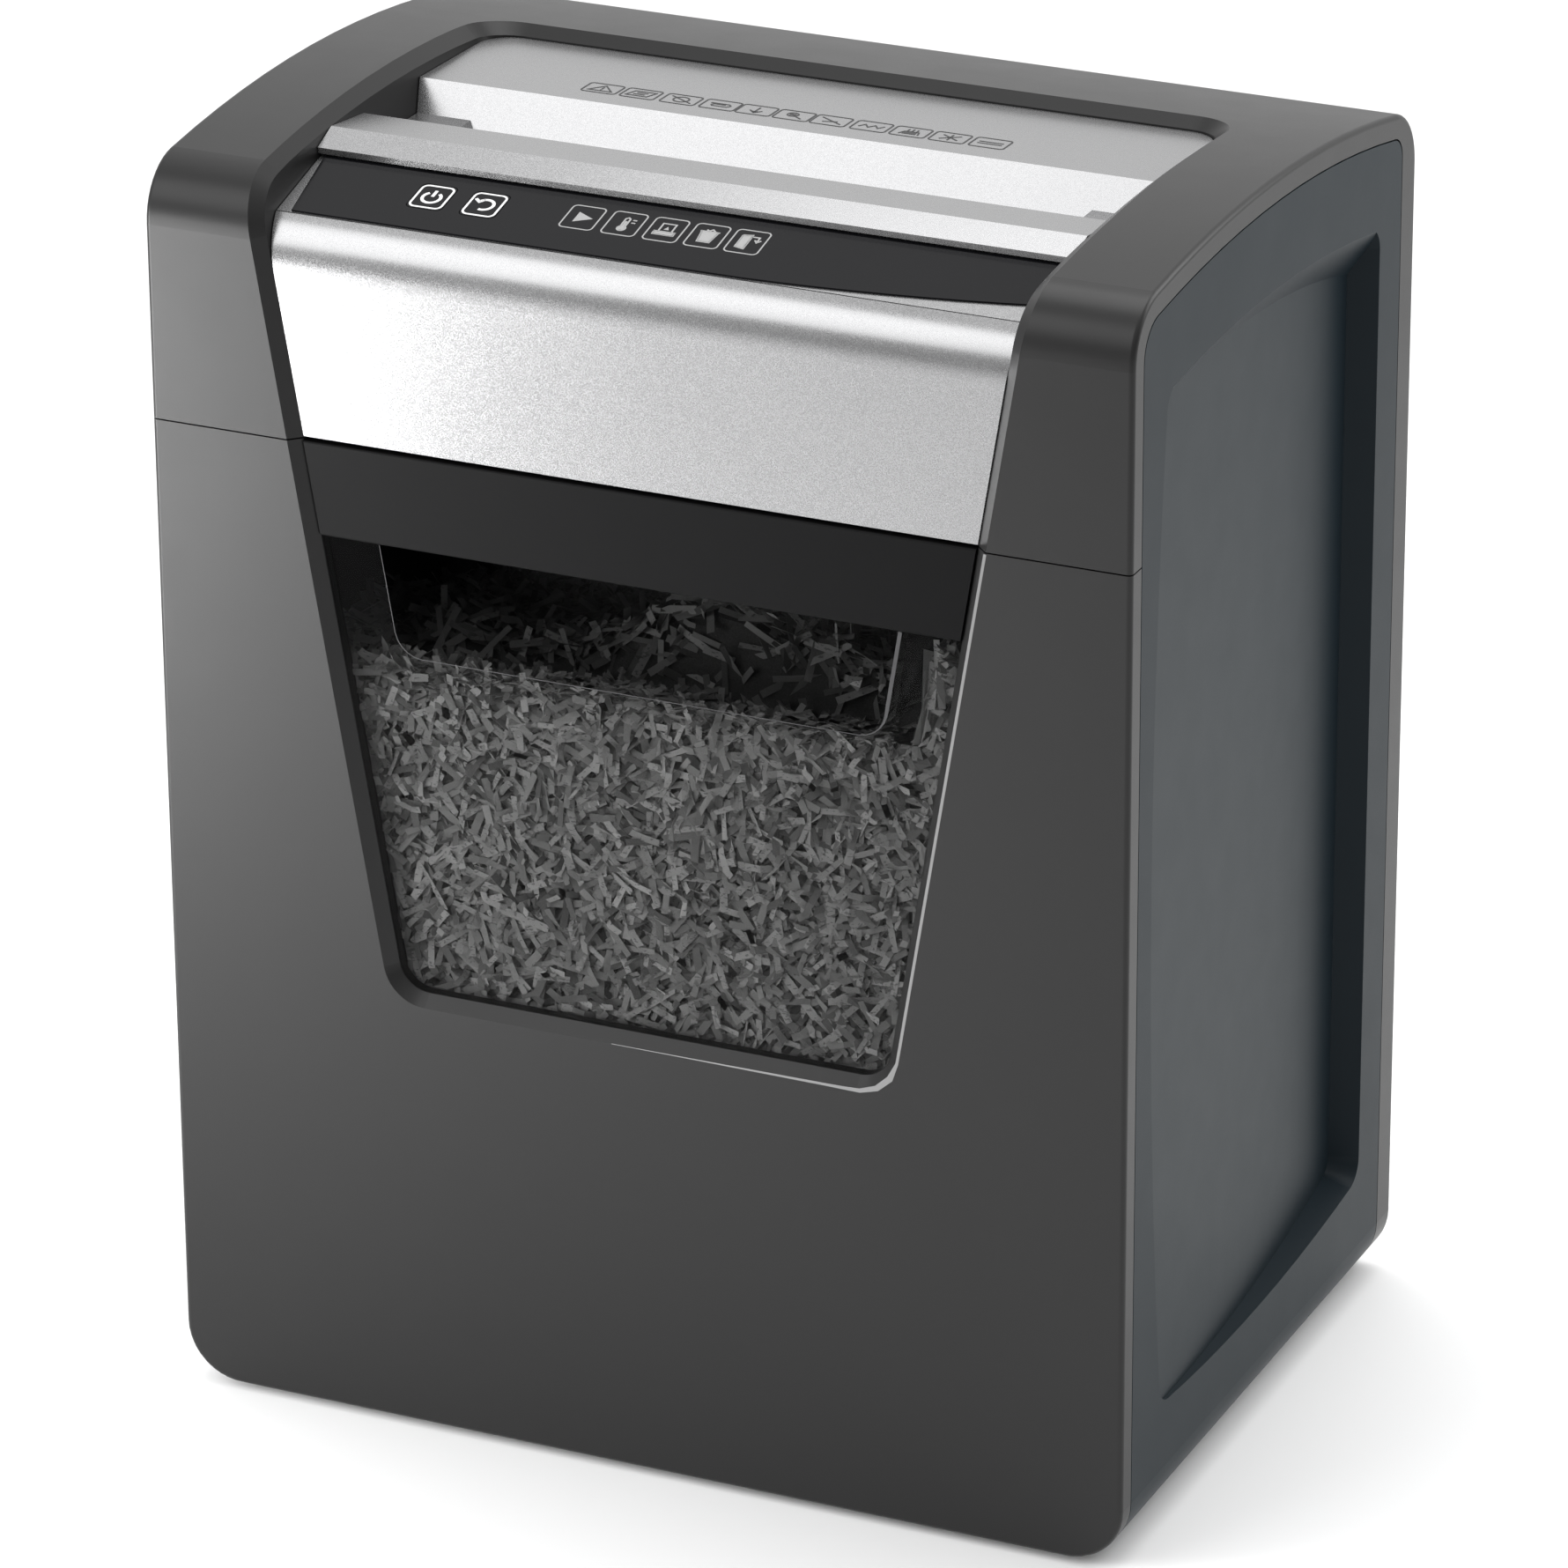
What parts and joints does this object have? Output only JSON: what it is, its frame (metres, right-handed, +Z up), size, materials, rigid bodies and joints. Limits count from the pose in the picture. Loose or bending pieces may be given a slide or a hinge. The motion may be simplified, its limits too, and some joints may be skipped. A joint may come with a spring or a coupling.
{
  "type": "paper shredder",
  "caption": "Deskside paper shredder with a sloped control strip, a deep feed throat and a pull-out bin with a smoked window.",
  "frame": {"origin": "on the floor, under the centre of the casing", "axes": "+Z up, +X to the right seen from the front, the front with the bin faces -Y"},
  "size_m": [0.345, 0.247, 0.445],
  "materials": {
    "casing_plastic": "satin dark warm grey moulded plastic with a fine grain",
    "side_plastic": "matte blue-grey moulded plastic",
    "silver_plastic": "satin silver-grey painted plastic",
    "label_gloss": "gloss black control label with pale pictograms",
    "key_gloss": "gloss black key caps",
    "grip_gloss": "gloss black handle band",
    "light_guide": "frosted clear light guides, unlit",
    "circuit_board": "green solder mask over glass-epoxy board",
    "switch_body": "black moulded switch and sensor bodies",
    "capacitor_sleeve": "dark blue sleeve over an aluminium can",
    "frame_plastic": "black glass-filled structural plastic",
    "rail_plastic": "pale low-friction plastic",
    "tub_plastic": "black bin moulding",
    "window_smoked": "clear smoked window moulding",
    "shredded_paper": "loose cross-cut paper shreds",
    "plate_steel": "galvanised steel sheet",
    "zinc_steel": "zinc-plated steel",
    "cutter_steel": "hardened and ground steel, lightly oiled",
    "gear_steel": "machined steel",
    "gear_nylon": "natural nylon gear moulding",
    "bearing_bronze": "sintered bronze bush",
    "motor_steel": "deep-drawn steel motor can",
    "rotor_copper": "steel laminations with copper windings",
    "gland_rubber": "black rubber gland",
    "foot_rubber": "dark grey rubber foot"
  },
  "bodies": {
    "cabinet": {"head_surround": "casing_plastic", "front_fascia": "silver_plastic", "control_panel_base": "silver_plastic", "control_label": "label_gloss", "light_guides": "light_guide", "control_board": "circuit_board", "board_posts": "frame_plastic", "key_switches": "switch_body", "board_capacitor": "capacitor_sleeve", "feed_throat": "silver_plastic", "chute_front": "frame_plastic", "chute_rear": "frame_plastic", "paper_sensor_front": "switch_body", "paper_sensor_rear": "switch_body", "side_panel_left": "side_plastic", "side_panel_right": "side_plastic", "rear_panel": "casing_plastic", "rear_panel_screws": "zinc_steel", "mains_gland": "gland_rubber", "base_plate": "frame_plastic", "feet": "foot_rubber", "bin_rails": "rail_plastic", "inner_wall_left": "frame_plastic", "inner_wall_right": "frame_plastic", "head_deck": "plate_steel", "cutter_plate_left": "plate_steel", "cutter_plate_right": "plate_steel", "tie_rods": "zinc_steel", "tie_rod_nuts": "zinc_steel", "cutter_bearings": "bearing_bronze", "stripper_front": "frame_plastic", "stripper_rear": "frame_plastic", "idler_axle": "zinc_steel", "gear_cover": "frame_plastic", "motor_can": "motor_steel", "motor_end_cap": "frame_plastic", "motor_saddle": "plate_steel", "thermal_cutout": "switch_body", "bin_sensor": "switch_body"},
    "bin": {"bin_front": "casing_plastic", "bin_window": "window_smoked", "bin_grip": "grip_gloss", "bin_tub": "tub_plastic", "bin_magnet": "zinc_steel", "bin_front_screws": "zinc_steel", "shredded_paper": "shredded_paper"},
    "power_key": {"power_button": "key_gloss"},
    "reverse_key": {"reverse_button": "key_gloss"},
    "cutter_front": {"cutter_shaft_front": "cutter_steel", "cutter_discs_front": "cutter_steel", "cutter_gear_front": "gear_steel"},
    "cutter_rear": {"cutter_shaft_rear": "cutter_steel", "cutter_discs_rear": "cutter_steel", "cutter_gear_rear": "gear_steel", "drive_gear": "gear_nylon"},
    "idler": {"idler_gear_small": "gear_steel", "idler_gear_large": "gear_nylon"},
    "rotor": {"motor_rotor": "rotor_copper", "motor_pinion": "gear_steel"}
  },
  "joints": [
    {"name": "bin_slide", "type": "slide", "parent": "cabinet", "child": "bin", "axis": [0, -1, 0], "range_m": [0, 0.21]},
    {"name": "power_press", "type": "slide", "parent": "cabinet", "child": "power_key", "axis": [0, 0.2199, -0.9755], "range_m": [0, 0.001], "stiffness_N_per_m": 600, "springref_m": -0.0005},
    {"name": "reverse_press", "type": "slide", "parent": "cabinet", "child": "reverse_key", "axis": [0, 0.2199, -0.9755], "range_m": [0, 0.001], "stiffness_N_per_m": 600, "springref_m": -0.0005},
    {"name": "cutter_rear_spin", "type": "hinge", "parent": "cabinet", "child": "cutter_rear", "pos_m": [0, -0.002, 0.388], "axis": [1, 0, 0], "continuous": true},
    {"name": "cutter_front_spin", "type": "hinge", "parent": "cabinet", "child": "cutter_front", "pos_m": [0, -0.038, 0.388], "axis": [1, 0, 0], "continuous": true},
    {"name": "idler_spin", "type": "hinge", "parent": "cabinet", "child": "idler", "pos_m": [0, 0.0325, 0.388], "axis": [1, 0, 0], "continuous": true},
    {"name": "rotor_spin", "type": "hinge", "parent": "cabinet", "child": "rotor", "pos_m": [0, 0.0715, 0.388], "axis": [1, 0, 0], "continuous": true}
  ],
  "couplings": [
    {"joint": "cutter_front_spin", "follows": "cutter_rear_spin", "ratio": -1},
    {"joint": "idler_spin", "follows": "cutter_rear_spin", "ratio": -2.2857},
    {"joint": "rotor_spin", "follows": "cutter_rear_spin", "ratio": 10.449}
  ]
}
